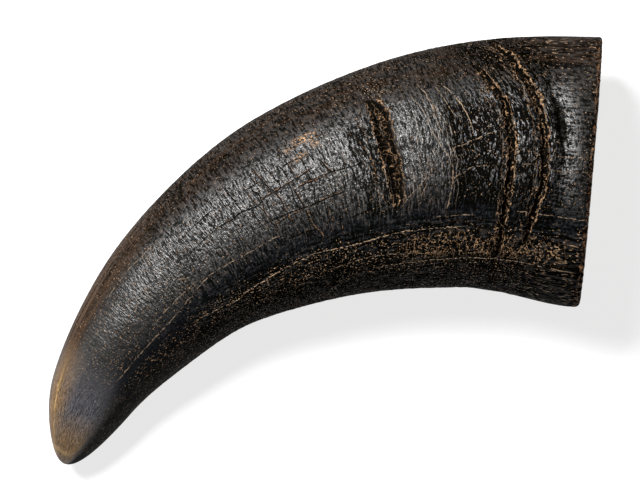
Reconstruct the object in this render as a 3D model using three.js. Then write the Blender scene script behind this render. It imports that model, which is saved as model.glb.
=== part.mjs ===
// A water buffalo horn: one hollow horn sheath, dark and blunt-tipped, lying on its flattened side.
//
// Frame, in millimetres: +Z is up, +X points from the tip end towards the open rim, and +Y points to the
// outside of the bend. The horn stands on Z = 0, under the middle of its box.
//
// The surface is swept along a centre line. A place on it is given by two numbers:
//   growth  the distance from the rim to the growth line it lies on, along the middle of the upper side
//   around  the angle in degrees about the centre line: 0 is the outside of the bend, 90 the upper side,
//           180 the inside of the bend and -90 the side it lies on

import * as THREE from "three";

const { clamp, degToRad, lerp, smoothstep } = THREE.MathUtils;

// Stations from the rim to the tip, evenly spaced along the centre line.
// x and y place the centre line, and halfWidth and halfDepth are the section's half sizes.
const STATIONS = [
  { x: 90.5, y: 22.5, halfWidth: 46.0, halfDepth: 31.0 },
  { x: 61.5, y: 25.0, halfWidth: 42.5, halfDepth: 29.5 },
  { x: 35.0, y: 23.0, halfWidth: 39.5, halfDepth: 27.5 },
  { x: 7.5, y: 16.5, halfWidth: 35.5, halfDepth: 25.0 },
  { x: -17.0, y: 6.5, halfWidth: 31.5, halfDepth: 22.5 },
  { x: -40.0, y: -8.0, halfWidth: 26.0, halfDepth: 19.5 },
  { x: -59.0, y: -26.5, halfWidth: 21.5, halfDepth: 16.5 },
  { x: -75.5, y: -49.0, halfWidth: 15.5, halfDepth: 13.0 },
  { x: -87.0, y: -76.0, halfWidth: 9.5, halfDepth: 9.5 },
];
const LENGTH = 220; // along the centre line, from the rim to the tip
const TIP_ROUNDING = 24; // length over which the sides close to the blunt tip

// The section is an ellipse with three soft corners: the keel along the upper side, and two below,
// between which the horn is flat enough to lie on. swing turns a corner on its way to the tip.
const CORNERS = [
  { around: 124, swing: 8, rise: 0.08, spread: 21 },
  { around: 232, swing: 0, rise: 0.1, spread: 24 },
  { around: -48, swing: 0, rise: 0.12, spread: 26 },
];

// Growth lines bow towards the tip on both sides of the upper side's middle.
const BOW_CREST = 0.05; // where they reach furthest to the rim, as a share of the half width
const BOW_OUTER = 19; // how fast they bow on the outside of the bend, near the rim
const BOW_OUTER_LATER = 8; // and past the ridged part
const BOW_INNER = 10.5; // how fast they bow on the inside of the bend

// Creases between growth rings. at is the growth line, reach the groove's half width, and from and to
// are the angles between which it runs.
const CREASES = [
  { at: 9.7, depth: 0.9, reach: 1.3, from: 58, to: 94 },
  { at: 15.1, depth: 1.4, reach: 1.1, from: 16, to: 124 },
  { at: 24.7, depth: 1.5, reach: 1.1, from: 38, to: 132 },
  { at: 62.8, depth: 2.3, reach: 2.5, from: 48, to: 104 },
  { at: 12.0, depth: 0.7, reach: 1.2, from: -62, to: -10 },
  { at: 27.5, depth: 0.7, reach: 1.2, from: -52, to: -6 },
  { at: 19.0, depth: 0.5, reach: 1.2, from: 197, to: 226 },
  { at: 46.0, depth: 0.35, reach: 1.5, from: 197, to: 222 },
];
const CREASE_FADE = 11; // degrees over which a crease or a swell fades at its ends
const CREASE_WANDER = 0.7; // how far a crease strays from its growth line

// Swells, which are low rings, and valleys, whose rise is negative. rimward and tipward are their
// reaches to either side of the growth line they are highest or deepest on.
const SWELLS = [
  { at: 0.0, rise: -0.6, rimward: 1.0, tipward: 3.0, from: -34, to: 34 },
  { at: 0.0, rise: -0.9, rimward: 1.0, tipward: 2.0, from: 160, to: 212 },
  { at: 5.0, rise: 0.5, rimward: 2.8, tipward: 2.2, from: 40, to: 140 },
  { at: 12.4, rise: 0.7, rimward: 1.6, tipward: 1.6, from: 46, to: 112 },
  { at: 20.0, rise: 0.5, rimward: 3.4, tipward: 3.2, from: 36, to: 128 },
  { at: 38.2, rise: -2.0, rimward: 7.5, tipward: 7.0, from: 38, to: 124 },
  { at: 57.6, rise: 2.3, rimward: 9.0, tipward: 4.5, from: 44, to: 106 },
  { at: 71.0, rise: -0.9, rimward: 5.0, tipward: 6.0, from: 46, to: 108 },
  { at: 86.5, rise: -0.7, rimward: 4.5, tipward: 5.5, from: 50, to: 116 },
  { at: 101.0, rise: 0.8, rimward: 8.0, tipward: 12.0, from: 46, to: 104 },
  { at: 20.0, rise: 0.5, rimward: 5.0, tipward: 5.0, from: -60, to: -14 },
  { at: 36.0, rise: -0.6, rimward: 7.0, tipward: 8.0, from: -55, to: -8 },
  { at: 33.0, rise: -0.4, rimward: 8.0, tipward: 8.0, from: 155, to: 215 },
];

// The hollow that the bone core left: open at the rim, and closed by thick horn towards the tip.
const WALL_AT_RIM = 4;
const WALL_GAIN = 9; // how much thicker the wall is at the hollow's end
const WALL_CURVE = 1.6; // above 1, the wall thickens late
const HOLLOW_LENGTH = 132;
const HOLLOW_ROUNDING = 54; // length over which the hollow closes

const RIM_ROUNDING = 1.3; // radius of the worn outer edge of the rim
const RIM_FLAT_INSET = 0.4; // how far that edge wavers

// Steps of the mesh: each run of growth lines goes to `to` in steps of about `step`.
const GROWTH_RUNS = [
  { to: 1.5, step: 0.5 },
  { to: 31, step: 1.4 },
  { to: 55, step: 2.7 },
  { to: 69, step: 1.4 },
  { to: LENGTH - TIP_ROUNDING, step: 3.9 },
];
const TIP_STEPS = 9;
const HOLLOW_STEPS = 17;

// Columns of the mesh: closer together over the ridged upper side, from RIDGED_FROM to RIDGED_TO.
const RIDGED_FROM = -6;
const RIDGED_TO = 186;
const RIDGED_COLUMNS = 31;
const LOWER_COLUMNS = 16;
const LAST_ANGLE = 258; // under the horn; an angle past it is counted as 360 degrees less

const HORN_COLOUR = 0x1d1a18;

const UP = new THREE.Vector3(0, 0, 1);

// The section is centred at the height of its own half depth, so that its flat side touches Z = 0.
const centreLine = new THREE.CatmullRomCurve3(
  STATIONS.map((s) => new THREE.Vector3(s.x, s.y, s.halfDepth)),
  false,
  "catmullrom",
  0.5,
);
const halfSizes = new THREE.CatmullRomCurve3(
  STATIONS.map((s) => new THREE.Vector3(s.halfWidth, s.halfDepth, 0)),
  false,
  "catmullrom",
  0.5,
);

// 1 along the sides, falling to 0 as a round end does over the last `rounding` before `end`.
function closing(distance, end, rounding) {
  const left = clamp((end - distance) / rounding, 0, 1);
  return Math.sqrt(1 - (1 - left) ** 2);
}

// 1 between two angles, fading to 0 past them.
function between(around, from, to) {
  const enter = smoothstep(around, from - CREASE_FADE, from + CREASE_FADE);
  const leave = smoothstep(around, to - CREASE_FADE, to + CREASE_FADE);
  return enter * (1 - leave);
}

// The section's outline at an angle, as a share of its half sizes.
function sectionOutline(distance, around) {
  const toTip = distance / LENGTH;
  let radius = 1;
  for (const corner of CORNERS) {
    const peak = corner.around + corner.swing * toTip;
    let away = Math.abs(around - peak) % 360;
    away = Math.min(away, 360 - away);
    const fading = 1 - smoothstep(toTip, 0.6, 1);
    radius += corner.rise * fading * Math.exp(-((away / corner.spread) ** 2));
  }
  const angle = degToRad(around);
  return [radius * Math.cos(angle), radius * Math.sin(angle)];
}

// How far tipward a growth line lies from where it crosses the upper side's middle.
function bow(growth, around) {
  const across = Math.cos(degToRad(around)) - BOW_CREST;
  const nearRim = smoothstep(growth, 0, 8);
  const beforeTip = 1 - smoothstep(growth, 80, 160);
  const outer = lerp(BOW_OUTER, BOW_OUTER_LATER, smoothstep(growth, 24, 44));
  return nearRim * beforeTip * (across > 0 ? outer : BOW_INNER) * across ** 2;
}

// How far a crease strays from its growth line, from a few sines that never repeat together.
function wander(around, at) {
  const angle = degToRad(around);
  const waves = 0.5 * Math.sin(5 * angle + at) + 0.3 * Math.sin(11 * angle + 2 * at);
  return CREASE_WANDER * (waves + 0.2 * Math.sin(17 * angle + 3 * at));
}

// The height of the growth relief above the smooth horn, in millimetres.
function relief(growth, around) {
  let height = 0;
  for (const { at, depth, reach, from, to } of CREASES) {
    const away = (growth - at - wander(around, at)) / reach;
    height -= depth * between(around, from, to) * Math.exp(-(away ** 2));
  }
  for (const { at, rise, rimward, tipward, from, to } of SWELLS) {
    const away = (growth - at) / (growth < at ? rimward : tipward);
    height += rise * between(around, from, to) * Math.exp(-(away ** 2));
  }
  return height;
}

// How much the worn edge of the rim draws the outside in, near the rim.
function rimWear(distance, around) {
  const left = clamp(1 - distance / RIM_ROUNDING, 0, 1);
  const waver = 0.5 + 0.5 * Math.sin(degToRad(9 * around)) * Math.sin(degToRad(4 * around + 50));
  return RIM_ROUNDING * (1 - Math.sqrt(1 - left ** 2)) + RIM_FLAT_INSET * waver * left;
}

// The point of a section whose half sizes are scaled and thinned, standing out by `out` from it.
function sectionPoint(distance, around, scale, thinner, out) {
  const t = clamp(distance / LENGTH, 0, 1);
  const centre = centreLine.getPoint(t);
  const along = centreLine.getTangent(t);
  const outward = along.clone().cross(UP).normalize();
  const upward = outward.clone().cross(along);
  const half = halfSizes.getPoint(t);
  const halfWidth = (half.x - thinner) * scale;
  const halfDepth = (half.y - thinner) * scale;
  const [across, height] = sectionOutline(distance, around);
  const normal = new THREE.Vector2(across * halfDepth, height * halfWidth);
  if (normal.length() > 0) normal.normalize();
  return centre
    .addScaledVector(outward, across * halfWidth + normal.x * out)
    .addScaledVector(upward, height * halfDepth + normal.y * out);
}

function outerPoint(growth, around) {
  const distance = Math.min(growth + bow(growth, around), LENGTH);
  const scale = closing(distance, LENGTH, TIP_ROUNDING);
  const out = (relief(growth, around) - rimWear(distance, around)) * Math.min(1, scale * 2);
  return sectionPoint(distance, around, scale, 0, out);
}

function hollowPoint(distance, around) {
  const wall = WALL_AT_RIM + WALL_GAIN * (distance / HOLLOW_LENGTH) ** WALL_CURVE;
  const scale = closing(distance, HOLLOW_LENGTH, HOLLOW_ROUNDING);
  return sectionPoint(distance, around, scale, wall, 0);
}

// The growth lines that carry the mesh's outer rings, closer together where there are creases.
function growthLines() {
  const lines = [0];
  for (const { to, step } of GROWTH_RUNS) {
    const start = lines.at(-1);
    const count = Math.round((to - start) / step);
    for (let i = 1; i <= count; i += 1) lines.push(lerp(start, to, i / count));
  }
  for (let i = 1; i < TIP_STEPS; i += 1) {
    const turn = (Math.PI / 2) * (i / TIP_STEPS);
    lines.push(LENGTH - TIP_ROUNDING * (1 - Math.sin(turn)));
  }
  return lines;
}

// The angles of the mesh's columns, once around the horn.
function columnAngles() {
  const angles = [];
  for (let i = 0; i < RIDGED_COLUMNS; i += 1) {
    angles.push(lerp(RIDGED_FROM, RIDGED_TO, i / RIDGED_COLUMNS));
  }
  for (let i = 0; i < LOWER_COLUMNS; i += 1) {
    const angle = lerp(RIDGED_TO, RIDGED_FROM + 360, i / LOWER_COLUMNS);
    angles.push(angle < LAST_ANGLE ? angle : angle - 360);
  }
  return angles;
}

// Joins rings of points, each as long as `columns`, into one closed skin that ends in two points.
function closedSkin(firstPole, rings, lastPole) {
  const columns = rings[0].length;
  const points = [firstPole, ...rings.flat(), lastPole];
  const at = (ring, column) => 1 + ring * columns + (column % columns);
  const faces = [];
  for (let column = 0; column < columns; column += 1) {
    faces.push(0, at(0, column), at(0, column + 1));
    for (let ring = 0; ring + 1 < rings.length; ring += 1) {
      const [a, b] = [at(ring, column), at(ring, column + 1)];
      const [c, d] = [at(ring + 1, column), at(ring + 1, column + 1)];
      faces.push(a, c, d, a, d, b);
    }
    faces.push(at(rings.length - 1, column), points.length - 1, at(rings.length - 1, column + 1));
  }
  const geometry = new THREE.BufferGeometry();
  geometry.setAttribute(
    "position",
    new THREE.Float32BufferAttribute(points.flatMap((p) => p.toArray()), 3),
  );
  geometry.setIndex(faces);
  geometry.computeVertexNormals();
  return geometry;
}

// One skin runs from the hollow's inner end out to the rim, round its edge, and on to the tip.
function hornGeometry() {
  const angles = columnAngles();
  const hollowRings = [];
  for (let i = HOLLOW_STEPS; i >= 0; i -= 1) {
    const turn = (Math.PI / 2) * (i / (HOLLOW_STEPS + 1));
    const distance = HOLLOW_LENGTH * Math.sin(turn);
    hollowRings.push(angles.map((around) => hollowPoint(distance, around)));
  }
  const outerRings = growthLines().map((growth) => {
    return angles.map((around) => outerPoint(growth, around));
  });
  const hollowEnd = centreLine.getPoint(HOLLOW_LENGTH / LENGTH);
  const tip = centreLine.getPoint(1);
  return closedSkin(hollowEnd, [...hollowRings, ...outerRings], tip);
}

const horn = new THREE.Mesh(
  hornGeometry(),
  new THREE.MeshStandardMaterial({ color: HORN_COLOUR, roughness: 0.48, metalness: 0 }),
);
horn.name = "horn";

const box = new THREE.Box3().setFromObject(horn);
const middle = box.getCenter(new THREE.Vector3());
horn.position.set(-middle.x, -middle.y, -box.min.z);

const waterBuffaloHorn = new THREE.Group();
waterBuffaloHorn.add(horn);

export default waterBuffaloHorn;
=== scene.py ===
"""A water buffalo horn lying on its flattened side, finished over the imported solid.

Sizes are in millimetres and angles in degrees until a mesh, a light or the camera is made. A place on the
horn is given by two numbers:
    growth  the distance from the rim to the growth line it lies on, along the middle of the upper side
    around  the angle about the centre line: 0 is the outside of the bend, 90 the upper side, 180 the inside
            of the bend and -90 the side it lies on
"""

import logging
import math
from dataclasses import dataclass, fields
from enum import Enum

import bpy
import numpy as np
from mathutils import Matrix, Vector
from mathutils.kdtree import KDTree


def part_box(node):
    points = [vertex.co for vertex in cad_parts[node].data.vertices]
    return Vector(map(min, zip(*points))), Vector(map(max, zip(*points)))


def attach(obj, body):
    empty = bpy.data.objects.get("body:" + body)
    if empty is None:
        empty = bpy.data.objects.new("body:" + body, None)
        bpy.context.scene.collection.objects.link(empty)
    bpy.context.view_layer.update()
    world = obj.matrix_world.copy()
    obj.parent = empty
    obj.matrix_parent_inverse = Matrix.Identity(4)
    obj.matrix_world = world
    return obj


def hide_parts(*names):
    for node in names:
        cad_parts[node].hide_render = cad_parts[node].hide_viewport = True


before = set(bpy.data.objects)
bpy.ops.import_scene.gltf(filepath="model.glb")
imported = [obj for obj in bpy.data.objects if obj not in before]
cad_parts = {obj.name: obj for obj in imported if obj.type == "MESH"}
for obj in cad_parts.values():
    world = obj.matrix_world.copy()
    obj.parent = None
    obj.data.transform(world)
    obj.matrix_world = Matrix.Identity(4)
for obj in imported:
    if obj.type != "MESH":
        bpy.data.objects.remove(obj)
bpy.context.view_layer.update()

LOG = logging.getLogger("water_buffalo_horn")

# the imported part's names
BODY = "root"
NODE = "horn"

# units and plain numbers
MM = 0.001  # metres in a millimetre
FULL_TURN = 360
TINY = 1e-9  # keeps a division by a length of nothing from failing
HALF = 0.5  # the middle of a noise

# kinds of nodes, and what goes between them
MATHS = "ShaderNodeMath"
VECTORS = "ShaderNodeVectorMath"
RANGE = "ShaderNodeMapRange"  # takes a value, the range that is read, 1 and 2, and what it becomes, 3 and 4
NOISE = "ShaderNodeTexNoise"
MIX = "ShaderNodeMix"  # takes a share, 0, and two numbers, 2 and 3, or two colours, 6 and 7
SPLIT = "ShaderNodeSeparateXYZ"
SKIN_VALUE = "ShaderNodeAttribute"
STORED_VALUE = "GeometryNodeInputNamedAttribute"
Source = float | tuple | bpy.types.Node | bpy.types.NodeSocket  # what a socket, a mask or a condition takes
Sockets = bpy.types.bpy_prop_collection  # a node's sockets, by name


def smoothstep(value: np.ndarray, low: float, high: float) -> np.ndarray:
    """Rises from 0 at low to 1 at high, level at both ends."""
    share = np.clip((value - low) / (high - low), 0, 1)
    return share * share * (3 - 2 * share)


def spline(knots: np.ndarray, places: np.ndarray) -> tuple[np.ndarray, np.ndarray]:
    """Runs an even curve through knots.

    Args:
        knots: One row for each knot.
        places: Where to read the curve, from 0 at the first knot to 1 at the last.

    Returns:
        The curve's points and its slopes, each with one more axis than places.
    """
    padded = np.vstack([2 * knots[0] - knots[1], knots, 2 * knots[-1] - knots[-2]])
    steps = np.clip(places, 0, 1) * (len(knots) - 1)
    first = np.minimum(steps.astype(int), len(knots) - 2)
    part = (steps - first)[..., None]
    before, start, end, after = (padded[first + k] for k in range(4))
    leave = (end - before) / 2
    arrive = (after - start) / 2
    square = 3 * (end - start) - 2 * leave - arrive
    cube = 2 * (start - end) + leave + arrive
    points = start + leave * part + square * part**2 + cube * part**3
    slopes = leave + 2 * square * part + 3 * cube * part**2
    return points, slopes


def unit(vectors: np.ndarray) -> np.ndarray:
    """Scales each vector of the last axis to a length of 1."""
    return vectors / np.maximum(np.linalg.norm(vectors, axis=-1, keepdims=True), TINY)


def linear(colour: str) -> tuple[float, float, float, float]:
    """Turns an sRGB hex colour such as #1a1714 into the linear one that a shader takes, by the sRGB curve.

    Args:
        colour: The hex colour.

    Returns:
        The linear red, green and blue, and an alpha of 1.
    """
    shares = [int(colour[k : k + 2], 16) / 255 for k in (1, 3, 5)]
    red, green, blue = (c / 12.92 if c <= 0.04045 else ((c + 0.055) / 1.055) ** 2.4 for c in shares)
    return red, green, blue, 1.0


def add(
    tree: bpy.types.NodeTree, kind: str, inputs: dict | None = None, **settings: object
) -> bpy.types.Node:
    """Adds a node with its settings and links.

    Args:
        tree: The tree it goes into.
        kind: The node's type name.
        inputs: For each socket's name or number, a value, an output socket, or a node whose first output is
            meant.
        settings: The node's own properties.

    Returns:
        The new node.
    """
    node = tree.nodes.new(kind)
    for name, value in settings.items():
        setattr(node, name, value)
    for key, value in (inputs or {}).items():
        if isinstance(value, bpy.types.Node):
            value = next(output for output in value.outputs if output.enabled)
        if isinstance(value, bpy.types.NodeSocket):
            tree.links.new(value, node.inputs[key])
        else:
            node.inputs[key].default_value = value
    return node


@dataclass(frozen=True)
class Station:
    """The centre line's place and the section's half sizes at one step from the rim to the tip."""

    x: float
    y: float
    half_width: float
    half_depth: float


@dataclass(frozen=True)
class Corner:
    """A soft corner of the section. swing turns it on its way to the tip."""

    around: float
    swing: float
    rise: float
    spread: float


@dataclass(frozen=True)
class Crease:
    """A groove between two growth rings, along growth line `at` from one angle to another."""

    at: float
    depth: float
    reach: float
    start: float
    end: float


@dataclass(frozen=True)
class Swell:
    """A low ring, or a valley where rise is negative, with its reach to the rim's side and to the tip's."""

    at: float
    rise: float
    rimward: float
    tipward: float
    start: float
    end: float


STATIONS = (
    Station(90.5, 22.5, 46.0, 31.0),
    Station(61.5, 25.0, 42.5, 29.5),
    Station(35.0, 23.0, 39.5, 27.5),
    Station(7.5, 16.5, 35.5, 25.0),
    Station(-17.0, 6.5, 31.5, 22.5),
    Station(-40.0, -8.0, 26.0, 19.5),
    Station(-59.0, -26.5, 21.5, 16.5),
    Station(-75.5, -49.0, 15.5, 13.0),
    Station(-87.0, -76.0, 9.5, 9.5),
)
CORNERS = (Corner(124, 8, 0.08, 21), Corner(232, 0, 0.1, 24), Corner(-48, 0, 0.12, 26))
CREASES = (
    Crease(9.7, 0.8, 1.2, 58, 84),
    Crease(15.1, 1.4, 1.1, 16, 124),
    Crease(24.7, 1.5, 1.1, 38, 132),
    Crease(62.8, 2.3, 2.5, 48, 104),
    Crease(12.0, 0.7, 1.2, -62, -10),
    Crease(27.5, 0.7, 1.2, -52, -6),
    Crease(19.0, 0.5, 1.2, 197, 226),
    Crease(46.0, 0.35, 1.5, 197, 222),
)
SWELLS = (
    Swell(0.0, -0.6, 1.0, 3.0, -34, 34),
    Swell(0.0, -0.9, 1.0, 2.0, 160, 212),
    Swell(5.0, 0.5, 2.8, 2.2, 40, 140),
    Swell(12.4, 0.7, 1.6, 1.6, 46, 112),
    Swell(20.0, 0.5, 3.4, 3.2, 36, 128),
    Swell(38.2, -2.0, 7.5, 7.0, 38, 124),
    Swell(57.6, 2.3, 9.0, 4.5, 44, 106),
    Swell(71.0, -0.9, 5.0, 6.0, 46, 108),
    Swell(86.5, -0.7, 4.5, 5.5, 50, 116),
    Swell(101.0, 0.8, 8.0, 12.0, 46, 104),
    Swell(20.0, 0.5, 5.0, 5.0, -60, -14),
    Swell(36.0, -0.6, 7.0, 8.0, -55, -8),
    Swell(33.0, -0.4, 8.0, 8.0, 155, 215),
)


class Mark(Enum):
    """What a single line on the skin is."""

    THREAD = "thread"  # a pale raised line
    CRACK = "crack"  # an open dark line with a pale edge
    FLAKE = "flake"  # a row of lifted flakes that show raw horn


@dataclass(frozen=True)
class SkinLine:
    """A single line on the skin, through places given by growth and around. force is how plain it is."""

    mark: Mark
    force: float
    path: tuple[tuple[float, float], ...]


SKIN_LINES = (
    # along the keel and below it
    SkinLine(
        Mark.THREAD, 1.0, ((152, 121), (133, 126), (123, 123), (97, 118), (82, 119), (60, 117), (39, 118))
    ),
    SkinLine(Mark.THREAD, 0.7, ((89, 130), (77, 128), (66, 128), (44, 131))),
    SkinLine(Mark.THREAD, 1.0, ((72, 136), (58, 135), (35, 134), (14, 134), (1, 134))),
    # along the horn, below its middle
    SkinLine(Mark.THREAD, 0.6, ((187, 109), (169, 109), (152, 107), (134, 101), (122, 102), (102, 100))),
    SkinLine(Mark.THREAD, 0.5, ((166, 50), (156, 50), (140, 55))),
    SkinLine(Mark.THREAD, 0.5, ((164, 100), (150, 99), (138, 98))),
    SkinLine(Mark.THREAD, 0.5, ((52, 112), (35, 113))),
    SkinLine(Mark.THREAD, 0.6, ((22, 110), (17, 110), (4, 110), (0, 110))),
    SkinLine(Mark.THREAD, 0.5, ((13, 86), (1, 85))),
    SkinLine(Mark.THREAD, 0.5, ((13, 92), (0, 91))),
    SkinLine(Mark.THREAD, 0.4, ((13, 80), (7, 80))),
    SkinLine(Mark.THREAD, 0.5, ((12, 36), (7, 36))),
    # growth lines on the bulge and between it and the paired creases
    SkinLine(Mark.THREAD, 0.6, ((52.5, 50), (50, 62), (49, 72), (46, 83), (44.5, 86))),
    SkinLine(Mark.THREAD, 0.8, ((49, 43), (47.5, 53), (46.5, 69), (45, 78))),
    SkinLine(Mark.THREAD, 0.7, ((47.5, 53), (46, 60), (43.5, 70), (42, 74))),
    SkinLine(Mark.THREAD, 0.8, ((44.5, 44), (42.5, 58), (40.5, 67))),
    SkinLine(Mark.THREAD, 1.0, ((43.5, 43), (40, 51), (37, 64), (36, 76))),
    SkinLine(Mark.THREAD, 0.8, ((52.5, 88), (53.5, 94), (58.5, 100), (62, 106))),
    SkinLine(Mark.THREAD, 0.6, ((50, 86), (52, 94), (57, 105))),
    SkinLine(Mark.THREAD, 0.7, ((44.5, 86), (44, 94), (45, 103), (46.5, 112))),
    SkinLine(Mark.THREAD, 0.9, ((44.5, 86), (43, 82), (39.5, 80), (33, 77), (28, 75))),
    SkinLine(Mark.THREAD, 0.8, ((45.5, 96), (41, 94), (36.5, 91), (29, 91))),
    SkinLine(Mark.THREAD, 0.5, ((30.5, 50), (28.5, 60), (28, 68))),
    SkinLine(Mark.THREAD, 0.6, ((23, 90), (17, 90))),
    SkinLine(Mark.THREAD, 0.8, ((21, 84), (16, 86))),
    # cracks that part the skin into tiles, beyond the deep crease
    SkinLine(Mark.CRACK, 0.8, ((108.5, 78), (102, 77), (92, 75), (86, 72))),
    SkinLine(Mark.CRACK, 1.0, ((95, 81), (90.5, 80), (82.5, 80))),
    SkinLine(Mark.CRACK, 0.9, ((94.5, 93), (88.5, 92), (78, 91))),
    SkinLine(Mark.CRACK, 0.7, ((111, 94), (103, 94), (94.5, 93))),
    SkinLine(Mark.CRACK, 0.6, ((121, 86), (114, 85))),
    SkinLine(Mark.CRACK, 0.9, ((104.5, 54), (103, 70), (101, 82), (100.5, 94), (99.5, 99))),
    SkinLine(Mark.CRACK, 0.7, ((94.5, 56), (93.5, 68), (93.5, 76))),
    SkinLine(Mark.CRACK, 1.0, ((96, 77), (94.5, 90), (93.5, 102), (89, 114))),
    SkinLine(Mark.CRACK, 0.7, ((110, 60), (109, 76), (107.5, 86), (106.5, 100))),
    SkinLine(Mark.CRACK, 0.8, ((85.5, 64), (83, 75), (81, 82))),
    SkinLine(Mark.CRACK, 0.6, ((78, 68), (77, 74), (75.5, 79))),
    SkinLine(Mark.CRACK, 0.8, ((86.5, 94), (87, 103), (83.5, 108), (83, 114))),
    SkinLine(Mark.CRACK, 0.6, ((74, 56), (71.5, 67), (69.5, 77), (68.5, 94))),
    # a scar of lifted flakes beside the cracks
    SkinLine(Mark.FLAKE, 1.0, ((94, 58), (90, 56), (88, 54), (85, 54), (82, 55), (81, 58))),
    SkinLine(Mark.FLAKE, 1.0, ((85.5, 60), (84, 58), (82, 61), (81, 61))),
    SkinLine(Mark.FLAKE, 0.8, ((93, 65), (89, 64), (85.5, 62))),
)


@dataclass(frozen=True)
class HornForm:
    """The horn's shape: a swept section, its growth relief, and the hollow that the bone core left."""

    length: float = 220
    tip_rounding: float = 24
    bow_crest: float = 0.05
    bow_outer: float = 19
    bow_outer_later: float = 8
    bow_inner: float = 10.5
    bow_start: tuple[float, float] = (0, 8)  # growth lines between which the bow comes in
    bow_change: tuple[float, float] = (24, 44)  # between which it turns from bow_outer to bow_outer_later
    bow_end: tuple[float, float] = (80, 160)  # between which it goes
    corner_end: float = 0.6  # the share of the length from which the corners fade towards the tip
    relief_end: float = 0.5  # the share of its size at which the closing tip starts to lose its relief
    crease_fade: float = 11
    crease_wander: float = 0.7
    # each wave's share of the wander, its turns around the horn, and how far a crease's place shifts it
    crease_waves: tuple[tuple[float, int, int], ...] = ((0.5, 5, 1), (0.3, 11, 2), (0.2, 17, 3))
    wall_at_rim: float = 4
    wall_gain: float = 9
    wall_curve: float = 1.6
    hollow_length: float = 132
    hollow_rounding: float = 54
    rim_rounding: float = 1.3
    rim_waver: float = 0.4
    rim_waves: tuple[int, int] = (9, 4)  # how often the wear comes and goes around the rim, twice over
    rim_turn: float = 50  # the angle by which the second of the two is turned
    wrap: float = 258  # under the horn; an angle past it is counted as a full turn less

    def between(self, around: np.ndarray, start: float, end: float) -> np.ndarray:
        """1 between two angles, fading to 0 past them.

        Args:
            around: The angle of each point.
            start: The lower angle.
            end: The higher one.

        Returns:
            The share at each point.
        """
        fade = self.crease_fade
        enter = smoothstep(around, start - fade, start + fade)
        return enter * (1 - smoothstep(around, end - fade, end + fade))

    def bow(self, growth: np.ndarray, around: np.ndarray) -> np.ndarray:
        """How far tipward a growth line lies from where it crosses the upper side's middle.

        Args:
            growth: The growth line of each point.
            around: Its angle.

        Returns:
            The distance in millimetres.
        """
        across = np.cos(np.radians(around)) - self.bow_crest
        ridged = smoothstep(growth, *self.bow_start) * (1 - smoothstep(growth, *self.bow_end))
        later = smoothstep(growth, *self.bow_change)
        outer = self.bow_outer + (self.bow_outer_later - self.bow_outer) * later
        return ridged * np.where(across > 0, outer, self.bow_inner) * across**2

    def wander(self, around: np.ndarray, at: float) -> np.ndarray:
        """How far the crease at a growth line strays from it.

        Args:
            around: The angle of each point.
            at: The growth line of the crease.

        Returns:
            The distance in millimetres.
        """
        angle = np.radians(around)
        waves = (share * np.sin(turns * angle + shift * at) for share, turns, shift in self.crease_waves)
        return self.crease_wander * sum(waves)

    def relief(self, growth: np.ndarray, around: np.ndarray) -> np.ndarray:
        """The height of the growth relief above the smooth horn.

        Args:
            growth: The growth line of each point.
            around: Its angle.

        Returns:
            The height in millimetres.
        """
        height = np.zeros(np.broadcast(growth, around).shape)
        for crease in CREASES:
            away = (growth - crease.at - self.wander(around, crease.at)) / crease.reach
            height -= crease.depth * self.between(around, crease.start, crease.end) * np.exp(-(away**2))
        for swell in SWELLS:
            away = (growth - swell.at) / np.where(growth < swell.at, swell.rimward, swell.tipward)
            height += swell.rise * self.between(around, swell.start, swell.end) * np.exp(-(away**2))
        return height

    def rim_wear(self, distance: np.ndarray, around: np.ndarray) -> np.ndarray:
        """How much the worn edge of the rim draws the outside in.

        Args:
            distance: How far each point is from the rim.
            around: Its angle.

        Returns:
            The distance in millimetres.
        """
        left = np.clip(1 - distance / self.rim_rounding, 0, 1)
        often, seldom = self.rim_waves
        waves = np.sin(np.radians(often * around)) * np.sin(np.radians(seldom * around + self.rim_turn))
        waver = 0.5 + 0.5 * waves
        return self.rim_rounding * (1 - np.sqrt(1 - left**2)) + self.rim_waver * waver * left

    def closing(self, distance: np.ndarray, end: float, rounding: float) -> np.ndarray:
        """1 along the sides, falling to 0 as a round end does over the last `rounding` before `end`."""
        left = np.clip((end - distance) / rounding, 0, 1)
        return np.sqrt(1 - (1 - left) ** 2)

    def centre_line(self) -> np.ndarray:
        """The knots of the centre line, with the horn's lowest side on the floor."""
        return np.array([(station.x, station.y, station.half_depth) for station in STATIONS])

    def section(
        self,
        distance: np.ndarray,
        around: np.ndarray,
        scale: np.ndarray,
        thinner: np.ndarray,
        out: np.ndarray,
    ) -> tuple[np.ndarray, np.ndarray]:
        """Places points on sections of the horn.

        Args:
            distance: How far along the centre line each section is.
            around: The angle of each point.
            scale: What share of its size the section keeps there.
            thinner: How much smaller its half sizes are than the horn's.
            out: How far the point stands out from the section.

        Returns:
            The points, and where each lies in its section, across and up from the centre line.
        """
        place = np.clip(distance / self.length, 0, 1)
        sizes = np.array([(station.half_width, station.half_depth) for station in STATIONS])
        centre, slope = spline(self.centre_line(), place)
        half, _ = spline(sizes, place)
        along = unit(slope)
        outward = unit(np.cross(along, (0, 0, 1)))
        upward = np.cross(outward, along)
        radius = np.ones(place.shape)
        for corner in CORNERS:
            away = np.abs(around - corner.around - corner.swing * place) % FULL_TURN
            away = np.minimum(away, FULL_TURN - away)
            kept = 1 - smoothstep(place, self.corner_end, 1)
            radius += corner.rise * kept * np.exp(-((away / corner.spread) ** 2))
        across = radius * np.cos(np.radians(around))
        height = radius * np.sin(np.radians(around))
        wide = (half[..., 0] - thinner) * scale
        deep = (half[..., 1] - thinner) * scale
        normal = unit(np.stack([across * deep, height * wide], -1))
        offset = np.stack([across * wide, height * deep], -1) + normal * out[..., None]
        points = centre + outward * offset[..., :1] + upward * offset[..., 1:]
        return points, offset

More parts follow.
